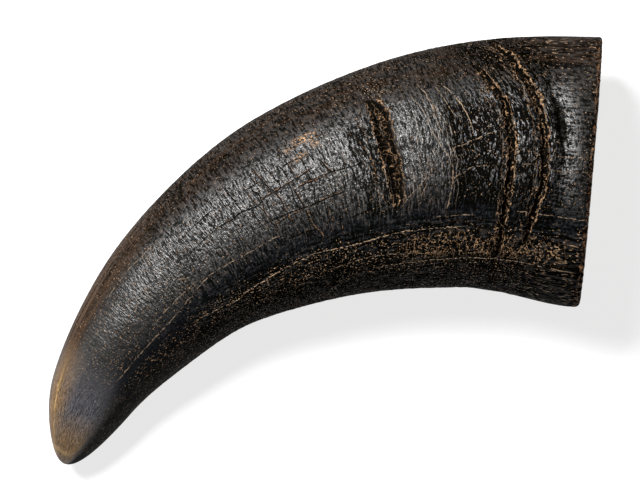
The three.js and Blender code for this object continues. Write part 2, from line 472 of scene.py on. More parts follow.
    def outside(self, growth: np.ndarray, around: np.ndarray) -> tuple[np.ndarray, np.ndarray]:
        """Points of the outer skin, and their places in their sections.

        Args:
            growth: The growth line of each point.
            around: Its angle.

        Returns:
            The points, and their places across and up.
        """
        growth, around = np.broadcast_arrays(growth, around)
        distance = np.minimum(growth + self.bow(growth, around), self.length)
        scale = self.closing(distance, self.length, self.tip_rounding)
        height = self.relief(growth, around) - self.rim_wear(distance, around)
        out = height * np.minimum(1, scale / self.relief_end)
        return self.section(distance, around, scale, np.zeros(scale.shape), out)

    def hollow(self, distance: np.ndarray, around: np.ndarray) -> tuple[np.ndarray, np.ndarray]:
        """Points of the hollow's wall, and their places in their sections.

        Args:
            distance: How far each point is from the rim.
            around: Its angle.

        Returns:
            The points, and their places across and up.
        """
        distance, around = np.broadcast_arrays(distance, around)
        wall = self.wall_at_rim + self.wall_gain * (distance / self.hollow_length) ** self.wall_curve
        scale = self.closing(distance, self.hollow_length, self.hollow_rounding)
        return self.section(distance, around, scale, wall, np.zeros(scale.shape))

    def end_points(self) -> tuple[np.ndarray, np.ndarray]:
        """The centre line's points at the hollow's inner end and at the tip.

        Returns:
            The two points.
        """
        points, _ = spline(self.centre_line(), np.array([self.hollow_length / self.length, 1.0]))
        return points[0], points[1]


@dataclass(frozen=True)
class Run:
    """Steps of about one length up to a limit."""

    to: float
    step: float


def stepped(start: float, runs: tuple[Run, ...]) -> np.ndarray:
    """The places that runs of steps reach, one after the other, from start on.

    Args:
        start: The first place.
        runs: The runs, in order.

    Returns:
        The places, the first one included.
    """
    places = [start]
    for run in runs:
        count = max(1, round((run.to - places[-1]) / run.step))
        places.extend(np.linspace(places[-1], run.to, count + 1)[1:])
    return np.array(places)


@dataclass
class HornSkin:
    """The finished surface of the whole horn, as one closed mesh, finer on the side that is looked at."""

    form: HornForm = HornForm()
    name: str = "horn_skin"
    growth_runs: tuple[Run, ...] = (Run(2, 0.25), Run(76, 0.52), Run(196, 0.84))
    column_runs: tuple[Run, ...] = (Run(200, 0.96), Run(340, 3.5))
    first_column: float = -20
    tip_rings: int = 20
    hollow_rings: int = 36
    rim_rings: int = 3
    course_radius: float = 30  # the size of the even-sided horn that lengthwise patterns are drawn on
    degree_length: float = 0.6  # about what a degree around the horn measures
    line_step: float = 0.5
    line_taper: float = 4
    line_reach: float = 2.4
    slope_step: float = 0.5  # how far on a slope is measured, in millimetres and in degrees
    end_share: float = 0.05  # how wide a crease still is where it ends
    clearance: float = 0.05  # keeps the folds of the side it lies on above the floor
    far: float = 9.0  # the distance that is kept where there is no crease or line nearby

    def columns(self) -> np.ndarray:
        """The angles of the mesh's columns, once around the horn."""
        angles = stepped(self.first_column, self.column_runs)[:-1]
        return np.where(angles > self.form.wrap, angles - FULL_TURN, angles)

    def growth_lines(self) -> np.ndarray:
        """The growth lines of the outer rings, from the rim to just before the tip.

        Returns:
            The growth line of each ring.
        """
        turns = np.linspace(0, math.pi / 2, self.tip_rings + 1)[1:-1]
        tip = self.form.length - self.form.tip_rounding * (1 - np.sin(turns))
        return np.concatenate([stepped(0, self.growth_runs), tip])

    def build(self) -> bpy.types.Object:
        """Makes the skin with the coordinates that its relief and its finish are drawn on.

        Returns:
            The object, with its place in its mesh.
        """
        form = self.form
        around = self.columns()[None]
        turns = np.linspace(math.pi / 2, 0, self.hollow_rings + 2)[1:]
        depths = (form.hollow_length * np.sin(turns))[:, None]
        growth = self.growth_lines()[:, None]
        inner, inner_offset = form.hollow(depths, around)
        outer, outer_offset = form.outside(growth, around)
        shares = np.linspace(0, 1, self.rim_rings + 2)[1:-1, None, None]
        face = inner[-1:] * (1 - shares) + outer[:1] * shares
        face_offset = inner_offset[-1:] * (1 - shares) + outer_offset[:1] * shares

        rings = np.concatenate([inner, face, outer])
        offsets = np.concatenate([inner_offset, face_offset, outer_offset])
        shape = rings.shape[:2]
        line = np.concatenate([depths, np.zeros((self.rim_rings, 1)), growth]) * np.ones(shape)
        angle = np.radians(around) * np.ones(shape)
        inside = np.concatenate([np.ones(len(depths)), 1 - shares[:, 0, 0], np.zeros(len(growth))])

        ends = form.end_points()
        points = np.vstack([ends[:1], rings.reshape(-1, 3), ends[1:]])
        points = self.placed(points, rings[len(depths) + self.rim_rings :])
        mesh = self.mesh(points, shape)
        radius = self.course_radius
        course = np.stack([line, radius * np.cos(angle), radius * np.sin(angle)], -1)
        straight = np.concatenate([line[..., None], offsets], -1)
        poles = (form.hollow_length, form.length)
        self.store(mesh, "course", course, [(p, 0, 0) for p in poles])
        self.store(mesh, "straight", straight, [(p, 0, 0) for p in poles])
        far_off = [(self.far, 0, 1)] * 2
        self.store(mesh, "crease", self.crease_field(line, np.degrees(angle), inside[:, None]), far_off)
        self.store(mesh, "inside", (inside[:, None] * np.ones(shape))[..., None], [(1,), (0,)])
        for mark in Mark:
            self.store(mesh, mark.value, self.line_field(mark, rings), far_off)
        skin = bpy.data.objects.new(self.name, mesh)
        bpy.context.scene.collection.objects.link(skin)
        return skin

    def placed(self, points: np.ndarray, outer: np.ndarray) -> np.ndarray:
        """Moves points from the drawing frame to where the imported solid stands, in metres.

        Args:
            points: All the skin's points.
            outer: Those of its outer rings alone.

        Returns:
            The points in metres.
        """
        low, high = (np.array(corner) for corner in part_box(NODE))
        drawn_low = outer.min((0, 1)) * MM
        drawn_high = outer.max((0, 1)) * MM
        shift = (low + high) / 2 - (drawn_low + drawn_high) / 2
        shift[2] = low[2] - drawn_low[2] + self.clearance * MM
        return points * MM + shift

    def mesh(self, points: np.ndarray, shape: tuple[int, int]) -> bpy.types.Mesh:
        """Joins rings of points, between a first and a last end point, into one closed mesh.

        Args:
            points: The first end point, the rings' points and the last end point.
            shape: How many rings there are, and how many points in each.

        Returns:
            The mesh.
        """
        rings, columns = shape
        at = 1 + np.arange(rings * columns).reshape(shape)
        after = np.roll(at, -1, 1)
        quads = np.stack([at[:-1], at[1:], after[1:], after[:-1]], -1).reshape(-1, 4)
        first = np.stack([np.zeros(columns, int), at[0], after[0]], -1)
        last = np.stack([at[-1], np.full(columns, len(points) - 1), after[-1]], -1)
        mesh = bpy.data.meshes.new(self.name)
        mesh.from_pydata(points.tolist(), [], [*first.tolist(), *quads.tolist(), *last.tolist()])
        mesh.polygons.foreach_set("use_smooth", np.ones(len(mesh.polygons), bool))
        mesh.update()
        return mesh

    def store(self, mesh: bpy.types.Mesh, name: str, values: np.ndarray, ends: list[tuple]) -> None:
        """Keeps a number or a vector for every point, with values of its own at the two end points.

        Args:
            mesh: The mesh.
            name: The attribute's name.
            values: The value of each point of the rings.
            ends: The values of the two end points.
        """
        width = values.shape[-1]
        kind, key = ("FLOAT_VECTOR", "vector") if width == 3 else ("FLOAT", "value")
        rows = np.vstack([[ends[0]], values.reshape(-1, width), [ends[1]]])
        mesh.attributes.new(name, kind, "POINT").data.foreach_set(key, rows.astype(np.float32).ravel())

    def crease_field(self, growth: np.ndarray, around: np.ndarray, inside: np.ndarray) -> np.ndarray:
        """Measures every point from its nearest crease.

        Args:
            growth: The growth line of each point.
            around: The angle of each point.
            inside: 1 for points that no crease reaches.

        Returns:
            The distance from that crease, positive towards the tip, the crease's depth there, and its reach.
        """
        gap = np.full(growth.shape, self.far)
        depth = np.zeros(growth.shape)
        reach = np.ones(growth.shape)
        for crease in CREASES:
            away = growth - crease.at - self.form.wander(around, crease.at)
            here = self.form.between(around, crease.start, crease.end) * (1 - inside)
            nearer = (np.abs(away) < np.abs(gap)) & (here > 0)
            gap = np.where(nearer, away, gap)
            depth = np.where(nearer, here * crease.depth, depth)
            reach = np.where(nearer, crease.reach * (self.end_share + (1 - self.end_share) * here), reach)
        return np.stack([gap, depth, reach], -1)

    def line_field(self, mark: Mark, points: np.ndarray) -> np.ndarray:
        """Measures every point from the nearest skin line of a kind.

        Args:
            mark: The kind of line.
            points: The skin's points, in the drawing frame.

        Returns:
            The distance to one side of that line, how plain the line is there, and a 0 to fill the vector.
        """
        places = []
        forces = []
        for line in SKIN_LINES:
            if line.mark is not mark:
                continue
            path = np.array(line.path, float)
            reach = np.hypot(np.diff(path[:, 0]), np.diff(path[:, 1]) * self.degree_length).sum()
            along = np.linspace(0, 1, max(3, round(reach / self.line_step)))
            places.append(spline(path, along)[0])
            forces.append(line.force * smoothstep(np.minimum(along, 1 - along) * reach, 0, self.line_taper))
        place = np.concatenate(places)
        force = np.concatenate(forces)
        spots, _ = self.form.outside(place[:, 0], place[:, 1])
        tipward, _ = self.form.outside(place[:, 0] + self.slope_step, place[:, 1])
        onward, _ = self.form.outside(place[:, 0], place[:, 1] + self.slope_step)
        normal = np.cross(onward - spots, tipward - spots)
        course = unit(np.gradient(spots, axis=0))
        side = unit(np.cross(normal, course))
        tree = KDTree(len(spots))
        for index, spot in enumerate(spots):
            tree.insert(spot, index)
        tree.balance()
        flat = points.reshape(-1, 3)
        nearest = np.array([tree.find(point)[1] for point in flat])
        away = flat - spots[nearest]
        gap = (away * side[nearest]).sum(1)
        beyond = np.abs((away * course[nearest]).sum(1))
        distance = np.linalg.norm(away, axis=1)
        fade = 1 - smoothstep(distance, self.line_reach / 2, self.line_reach)
        plain = force[nearest] * fade * (1 - smoothstep(beyond, self.line_step, 2 * self.line_step))
        return np.stack([gap, plain, np.zeros(gap.shape)], -1).reshape(*points.shape[:2], 3)


@dataclass(frozen=True)
class GrowthRelief:
    """The relief too fine for the solid: skin folds, growth lines and the broken lips of the creases.

    Every field is an input of the tree. The folds and the growth lines fade between two growth lines, from
    one share of their height to another.
    """

    fold_height: float = 0.16
    fold_along: float = 2.2
    fold_across: float = 4.5
    fold_fade_from: float = 150.0
    fold_fade_to: float = 205.0
    fold_share_before: float = 2.0
    fold_share_after: float = 0.3
    line_height: float = 0.10
    line_spacing: float = 2.6
    line_fade_from: float = 60.0
    line_fade_to: float = 150.0
    line_share_before: float = 2.0
    line_share_after: float = 0.4
    lip_height: float = 0.32
    lip_offset: float = 1.3  # in reaches of the crease, like the width, the pit's edge and its floor
    lip_width: float = 0.7
    pit_edge: float = 1.0
    pit_floor: float = 0.2
    pit_depth: float = 0.45
    crumb_size: float = 1.5
    crumb_stray: float = 2.6
    torn_from: float = 0.35
    torn_to: float = 0.65
    torn_height: float = 1.5
    chip_from: float = 0.6  # in heights of the torn bits, like chip_to
    chip_to: float = 1.2
    chip_depth: float = 1.5
    chip_reach: float = 2.0
    seed: float = 3.0
    torn_seed: float = 2.0

    def inputs(self) -> dict[str, float]:
        """The tree's inputs, named after the fields, and their values."""
        return {field.name.replace("_", " ").title(): getattr(self, field.name) for field in fields(self)}

    def fade(self, given: Sockets, kind: str) -> dict[int, Source]:
        """The ends of a fade, as the range node takes them: from, to, and the shares before and after."""
        ends = ("Fade From", "Fade To", "Share Before", "Share After")
        return {number: given[f"{kind} {end}"] for number, end in enumerate(ends, 1)}

    def folds(self, tree: bpy.types.NodeTree, given: Sockets, straight: Source, growth: Source) -> Source:
        """Adds the skin's folds, which fade towards the worn tip.

        Args:
            tree: The tree they go into.
            given: The tree's inputs.
            straight: A point's place in millimetres.
            growth: The growth line it lies on.

        Returns:
            How far the folds raise it.
        """
        sizes = {"X": given["Fold Along"], "Y": given["Fold Across"], "Z": given["Fold Across"]}
        size = add(tree, "ShaderNodeCombineXYZ", sizes)
        place = add(tree, VECTORS, {0: straight, 1: size}, operation="DIVIDE")
        noise = {"Vector": place, "W": given["Seed"], "Scale": 1.0, "Detail": 3.0, "Roughness": 0.6}
        folds = add(tree, NOISE, noise, noise_dimensions="4D")
        rise = add(tree, MATHS, {0: folds, 1: HALF}, operation="SUBTRACT")
        rise = add(tree, MATHS, {0: rise, 1: given["Fold Height"]}, operation="MULTIPLY")
        fade = add(tree, RANGE, {0: growth, **self.fade(given, "Fold")})
        return add(tree, MATHS, {0: rise, 1: fade}, operation="MULTIPLY")

    def lines(self, tree: bpy.types.NodeTree, given: Sockets, growth: Source) -> Source:
        """Adds the growth lines, which are strongest near the rim.

        Args:
            tree: The tree they go into.
            given: The tree's inputs.
            growth: The growth line a point lies on.

        Returns:
            How far the lines raise it.
        """
        place = add(tree, MATHS, {0: growth, 1: given["Line Spacing"]}, operation="DIVIDE")
        noise = {"W": place, "Scale": 1.0, "Detail": 2.0, "Roughness": 0.5}
        lines = add(tree, NOISE, noise, noise_dimensions="1D")
        rise = add(tree, MATHS, {0: lines, 1: HALF}, operation="SUBTRACT")
        rise = add(tree, MATHS, {0: rise, 1: given["Line Height"]}, operation="MULTIPLY")
        fade = add(tree, RANGE, {0: growth, **self.fade(given, "Line")})
        return add(tree, MATHS, {0: rise, 1: fade}, operation="MULTIPLY")

    def ragged_gap(
        self, tree: bpy.types.NodeTree, given: Sockets, straight: Source, scale: Source, away: Source
    ) -> Source:
        """Adds the stray that makes the creases ragged.

        Args:
            tree: The tree it goes into.
            given: The tree's inputs.
            straight: A point's place in millimetres.
            scale: How many crumbs there are to a millimetre.
            away: Its distance from the nearest crease.

        Returns:
            That distance, strayed.
        """
        noise = {"Vector": straight, "W": given["Seed"], "Scale": scale, "Detail": 2.0, "Roughness": 0.6}
        crumbs = add(tree, NOISE, noise, noise_dimensions="4D")
        stray = add(tree, MATHS, {0: crumbs, 1: HALF}, operation="SUBTRACT")
        return add(tree, MATHS, {0: stray, 1: given["Crumb Stray"], 2: away}, operation="MULTIPLY_ADD")

    def broken(
        self, tree: bpy.types.NodeTree, given: Sockets, gap: Source, torn: Source, depth: Source
    ) -> Source:
        """Adds the torn lips of the creases and the pits between them.

        Args:
            tree: The tree they go into.
            given: The tree's inputs.
            gap: A point's distance from the nearest crease, in reaches of the crease.
            torn: How high the torn bits stand there.
            depth: The crease's depth there.

        Returns:
            How far the lips and pits raise it.
        """
        from_lip = add(tree, MATHS, {0: gap, 1: given["Lip Offset"]}, operation="SUBTRACT")
        from_lip = add(tree, MATHS, {0: from_lip}, operation="ABSOLUTE")
        lip_edges = {0: from_lip, 1: given["Lip Width"], 2: 0.0, 3: 0.0, 4: given["Lip Height"]}
        lip = add(tree, RANGE, lip_edges, interpolation_type="SMOOTHSTEP")
        lip = add(tree, MATHS, {0: lip, 1: torn}, operation="MULTIPLY")
        pit_edges = {0: gap, 1: given["Pit Edge"], 2: given["Pit Floor"], 3: 0.0, 4: given["Pit Depth"]}
        pit = add(tree, RANGE, pit_edges, interpolation_type="SMOOTHSTEP")
        broken = add(tree, MATHS, {0: lip, 1: pit}, operation="SUBTRACT")
        return add(tree, MATHS, {0: broken, 1: depth}, operation="MULTIPLY")

    def tree(self) -> bpy.types.NodeTree:
        """Builds the node tree, which moves the skin along its normals.

        Returns:
            The tree, whose inputs have yet to be set on the modifier.
        """
        tree = bpy.data.node_groups.new("growth_relief", "GeometryNodeTree")
        tree.interface.new_socket("Geometry", in_out="INPUT", socket_type="NodeSocketGeometry")
        for name in self.inputs():
            tree.interface.new_socket(name, in_out="INPUT", socket_type="NodeSocketFloat")
        tree.interface.new_socket("Material", in_out="INPUT", socket_type="NodeSocketMaterial")
        tree.interface.new_socket("Geometry", in_out="OUTPUT", socket_type="NodeSocketGeometry")
        given = add(tree, "NodeGroupInput").outputs
        straight = add(tree, STORED_VALUE, {"Name": "straight"}, data_type="FLOAT_VECTOR")
        crease = add(tree, STORED_VALUE, {"Name": "crease"}, data_type="FLOAT_VECTOR")
        inside = add(tree, STORED_VALUE, {"Name": "inside"}, data_type="FLOAT")
        outside = add(tree, MATHS, {0: 1.0, 1: inside}, operation="SUBTRACT", use_clamp=True)
        growth = add(tree, SPLIT, {0: straight}).outputs["X"]

        fold_rise = self.folds(tree, given, straight, growth)
        line_rise = self.lines(tree, given, growth)
        scale = add(tree, MATHS, {0: 1.0, 1: given["Crumb Size"]}, operation="DIVIDE")
        away, depth, reach = add(tree, SPLIT, {0: crease}).outputs
        stray = self.ragged_gap(tree, given, straight, scale, away)
        gap = add(tree, MATHS, {0: stray, 1: reach}, operation="DIVIDE")
        gap = add(tree, MATHS, {0: gap}, operation="ABSOLUTE")
        noise = {"Vector": straight, "W": given["Torn Seed"], "Scale": scale, "Detail": 1.0}
        torn = add(tree, NOISE, noise, noise_dimensions="4D")
        heights = {1: given["Torn From"], 2: given["Torn To"], 3: 0.0, 4: given["Torn Height"]}
        torn = add(tree, RANGE, {0: torn, **heights})
        broken = self.broken(tree, given, gap, torn, depth)
        depths = {1: given["Chip From"], 2: given["Chip To"], 3: 0.0, 4: given["Chip Depth"]}
        chips = add(tree, RANGE, {0: torn, **depths})
        edge = add(tree, RANGE, {0: growth, 1: given["Chip Reach"], 2: 0.0, 3: 0.0, 4: 1.0})
        chips = add(tree, MATHS, {0: chips, 1: edge}, operation="MULTIPLY")

        height = add(tree, MATHS, {0: fold_rise, 1: line_rise}, operation="ADD")
        height = add(tree, MATHS, {0: height, 1: broken}, operation="ADD")
        height = add(tree, MATHS, {0: height, 1: chips}, operation="SUBTRACT")
        height = add(tree, MATHS, {0: height, 1: outside}, operation="MULTIPLY")
        distance = add(tree, MATHS, {0: height, 1: MM}, operation="MULTIPLY")
        normal = add(tree, "GeometryNodeInputNormal")
        offset = add(tree, VECTORS, {0: normal, "Scale": distance}, operation="SCALE")
        moved = add(tree, "GeometryNodeSetPosition", {"Geometry": given["Geometry"], "Offset": offset})
        ragged = {"Geometry": moved, "Name": "crease_gap", "Value": stray}
        kept = add(tree, "GeometryNodeStoreNamedAttribute", ragged, data_type="FLOAT", domain="POINT")
        realised = add(tree, "GeometryNodeRealizeInstances", {"Geometry": kept})
        dressing = {"Geometry": realised, "Material": given["Material"]}
        dressed = add(tree, "GeometryNodeSetMaterial", dressing)
        add(tree, "NodeGroupOutput", {"Geometry": dressed})
        return tree

    def apply(self, piece: bpy.types.Object, material: bpy.types.Material) -> None:
        """Runs the tree on a piece and keeps the result as its mesh.

        Args:
            piece: The object whose mesh is raised.
            material: The finish that the tree sets.
        """
        tree = self.tree()
        modifier = piece.modifiers.new("growth_relief", "NODES")
        modifier.node_group = tree
        values = {**self.inputs(), "Material": material}
        for socket in tree.interface.items_tree:
            if socket.in_out == "INPUT" and socket.name in values:
                modifier[socket.identifier] = values[socket.name]
        raised = bpy.data.meshes.new_from_object(piece.evaluated_get(bpy.context.evaluated_depsgraph_get()))
        piece.modifiers.remove(modifier)
        smooth = piece.data
        piece.data = raised
        bpy.data.meshes.remove(smooth)
        raised.name = piece.name


@dataclass(frozen=True)
class Shade:
    """A colour that drifts between two, in clouds of a size."""

    low: str
    high: str
    size: float = 1.6
    seed: float = 17


@dataclass(frozen=True)
class Look:
    """What a layer shows: its colour, its roughness and its specular level, or None for what it leaves."""

    colour: str | Shade | None
    roughness: float | None = None
    shine: float | None = None


class Coat:
    """A finish under way: a colour, a roughness, a shine and a height, to which each layer adds.

    A condition is a number, a mask, or a value with the places where it counts 0 and where it counts 1.
    Sizes of clouds are in millimetres on the horn: first along it, then across and up.
    """

    cloud_roughness = 0.6  # how strong each finer layer of the clouds is
    seed_step = (5, 3, 7)  # how many clouds on one seed is from the next, along, across and up
    waver_size = (20, 12, 12)  # the size of the clouds that make lines waver

    def __init__(self, tree: bpy.types.NodeTree, place: Source, ground: Look) -> None:
        """Starts from the ground.

        Args:
            tree: The material's tree.
            place: The socket of a point's place in millimetres.
            ground: The ground's look, with one colour.
        """
        self.tree = tree
        self.place = place
        self.colour: Source = linear(ground.colour)
        self.roughness: Source = ground.roughness
        self.shine: Source = ground.shine
        self.height: Source = 0.0

    def clouds(
        self, sizes: tuple[float, float, float], detail: float, seed: float, place: Source | None = None
    ) -> bpy.types.Node:
        """Cloudy noise from 0 to 1, about 0.5.

        Args:
            sizes: The clouds' sizes along the horn, across and up.
            detail: How many finer layers the noise has.
            seed: Any number, which moves the clouds.
            place: Where to read the noise, or None for the point's own place.

        Returns:
            The noise's node.
        """
        moved = {
            "Vector": place or self.place,
            "Location": tuple(step * seed for step in self.seed_step),
            "Scale": tuple(1 / size for size in sizes),
        }
        cells = add(self.tree, "ShaderNodeMapping", moved)
        noise = {"Vector": cells, "Scale": 1.0, "Detail": detail, "Roughness": self.cloud_roughness}
        return add(self.tree, NOISE, noise)

    def shaken(self, place: Source, size: float, reach: float, seed: float) -> bpy.types.Node:
        """A place moved by up to a reach by noise of a size, so that what is drawn on it wavers.

        Args:
            place: The place's socket.
            size: The noise's size.
            reach: How far it moves at most.
            seed: Any number.

        Returns:
            The moved place's node.
        """
        noise = self.clouds((size, size, size), 1, seed)
        spread = {0: noise.outputs["Color"], 1: (2 * reach,) * 3, 2: (-reach,) * 3}
        stray = add(self.tree, VECTORS, spread, operation="MULTIPLY_ADD")
        return add(self.tree, VECTORS, {0: place, 1: stray}, operation="ADD")

    def frayed(self, value: Source, size: float, reach: float, seed: float) -> bpy.types.Node:
        """A value moved by up to a reach by noise of a size.

        Args:
            value: The value's socket.
            size: The noise's size.
            reach: How far it moves at most.
            seed: Any number.

        Returns:
            The moved value's node.
        """
        noise = self.clouds((size, size, size), 2, seed)
        stray = add(self.tree, MATHS, {0: noise, 1: 2 * reach, 2: -reach}, operation="MULTIPLY_ADD")
        return add(self.tree, MATHS, {0: value, 1: stray}, operation="ADD")

    def waves(self, value: Source, spacing: float, waver: float, seed: float) -> bpy.types.Node:
        """A wave from -1 to 1, whose crests are lines about a spacing apart that stray by up to a waver.

        Args:
            value: What the lines lie along.
            spacing: From line to line.
            waver: How far they stray at most.
            seed: Any number.

        Returns:
            The wave's node.
        """
        noise = self.clouds(self.waver_size, 2, seed)
        stray = add(self.tree, MATHS, {0: noise, 1: 2 * waver, 2: value}, operation="MULTIPLY_ADD")
        turns = add(self.tree, MATHS, {0: stray, 1: math.tau / spacing}, operation="MULTIPLY")
        return add(self.tree, MATHS, {0: turns}, operation="SINE")

    def where(self, *conditions: Source) -> Source:
        """The share in which all the conditions hold.

        Args:
            conditions: What has to hold.

        Returns:
            The share, as a number or a mask.
        """
        held: Source | None = None
        for condition in conditions:
            if isinstance(condition, tuple):
                value, none, full = condition
                ends = {0: value, 1: min(none, full), 2: max(none, full)}
                ends |= {3: float(none > full), 4: float(none < full)}
                condition = add(self.tree, RANGE, ends, interpolation_type="SMOOTHSTEP")
            both = {0: held, 1: condition}
            held = condition if held is None else add(self.tree, MATHS, both, operation="MULTIPLY")
        return held

    def either(self, *conditions: Source) -> Source:
        """The share in which the strongest of the conditions holds.

        Args:
            conditions: What may hold.

        Returns:
            The share, as a number or a mask.
        """
        held: Source | None = None
        for condition in conditions:
            both = {0: held, 1: self.where(condition)}
            held = both[1] if held is None else add(self.tree, MATHS, both, operation="MAXIMUM")
        return held

    def line(self, value: Source, at: Source, width: float) -> Source:
        """1 where a value is `at`, falling to 0 at a width to either side.

        Args:
            value: What is measured.
            at: Where the line is.
            width: Half its whole width.

        Returns:
            The mask.
        """
        away = add(self.tree, MATHS, {0: value, 1: at}, operation="SUBTRACT")
        away = add(self.tree, MATHS, {0: away}, operation="ABSOLUTE")
        return self.where((away, width, 0.0))

    def cover(self, mask: Source, look: Look) -> None:
        """Lays a layer over what is there.

        Args:
            mask: How much of it covers.
            look: What it shows.
        """
        if isinstance(look.colour, Shade):
            shade = look.colour
            drift = self.clouds((shade.size,) * 3, 2, shade.seed)
            tones = {0: drift, 6: linear(shade.low), 7: linear(shade.high)}
            mixed = {0: mask, 6: self.colour, 7: add(self.tree, MIX, tones, data_type="RGBA")}
            self.colour = add(self.tree, MIX, mixed, data_type="RGBA")
        elif look.colour:
            mixed = {0: mask, 6: self.colour, 7: linear(look.colour)}
            self.colour = add(self.tree, MIX, mixed, data_type="RGBA")
        if look.roughness is not None:
            mixed = {0: mask, 2: self.roughness, 3: look.roughness}
            self.roughness = add(self.tree, MIX, mixed, data_type="FLOAT")
        if look.shine is not None:
            mixed = {0: mask, 2: self.shine, 3: look.shine}
            self.shine = add(self.tree, MIX, mixed, data_type="FLOAT")

    def lift(self, mask: Source, height: float) -> None:
        """Raises the surface by a height in millimetres where the mask is 1."""
        self.height = add(self.tree, MATHS, {0: mask, 1: height, 2: self.height}, operation="MULTIPLY_ADD")


class Places:
    """Where a point lies on the horn, read from the skin's attributes.

    course is drawn on an even-sided horn and straight on the true section. outer runs from 30 on the outside
    of the bend to -30 on its inside, and upper from 30 on the upper side to -30 on the side it lies on.
    """

    def __init__(self, tree: bpy.types.NodeTree) -> None:
        """Reads the attributes into sockets that the layers share.

        Args:
            tree: The material's tree.
        """
        self.course = add(tree, SKIN_VALUE, attribute_name="course").outputs["Vector"]
        self.straight = add(tree, SKIN_VALUE, attribute_name="straight").outputs["Vector"]
        self.inside = add(tree, SKIN_VALUE, attribute_name="inside").outputs["Fac"]
        self.gap = add(tree, SKIN_VALUE, attribute_name="crease_gap").outputs["Fac"]
        crease = add(tree, SKIN_VALUE, attribute_name="crease").outputs["Vector"]
        _, self.depth, self.reach = add(tree, SPLIT, {0: crease}).outputs
        self.growth, self.outer, self.upper = add(tree, SPLIT, {0: self.course}).outputs


@dataclass(frozen=True)
class Vein:
    """A pale line along a crease: how many reaches from its middle, how thick, how often it breaks off."""

    offset: float
    width: float
    gaps: float
    seed: float


STRAW = Shade("#64492f", "#b08c68")


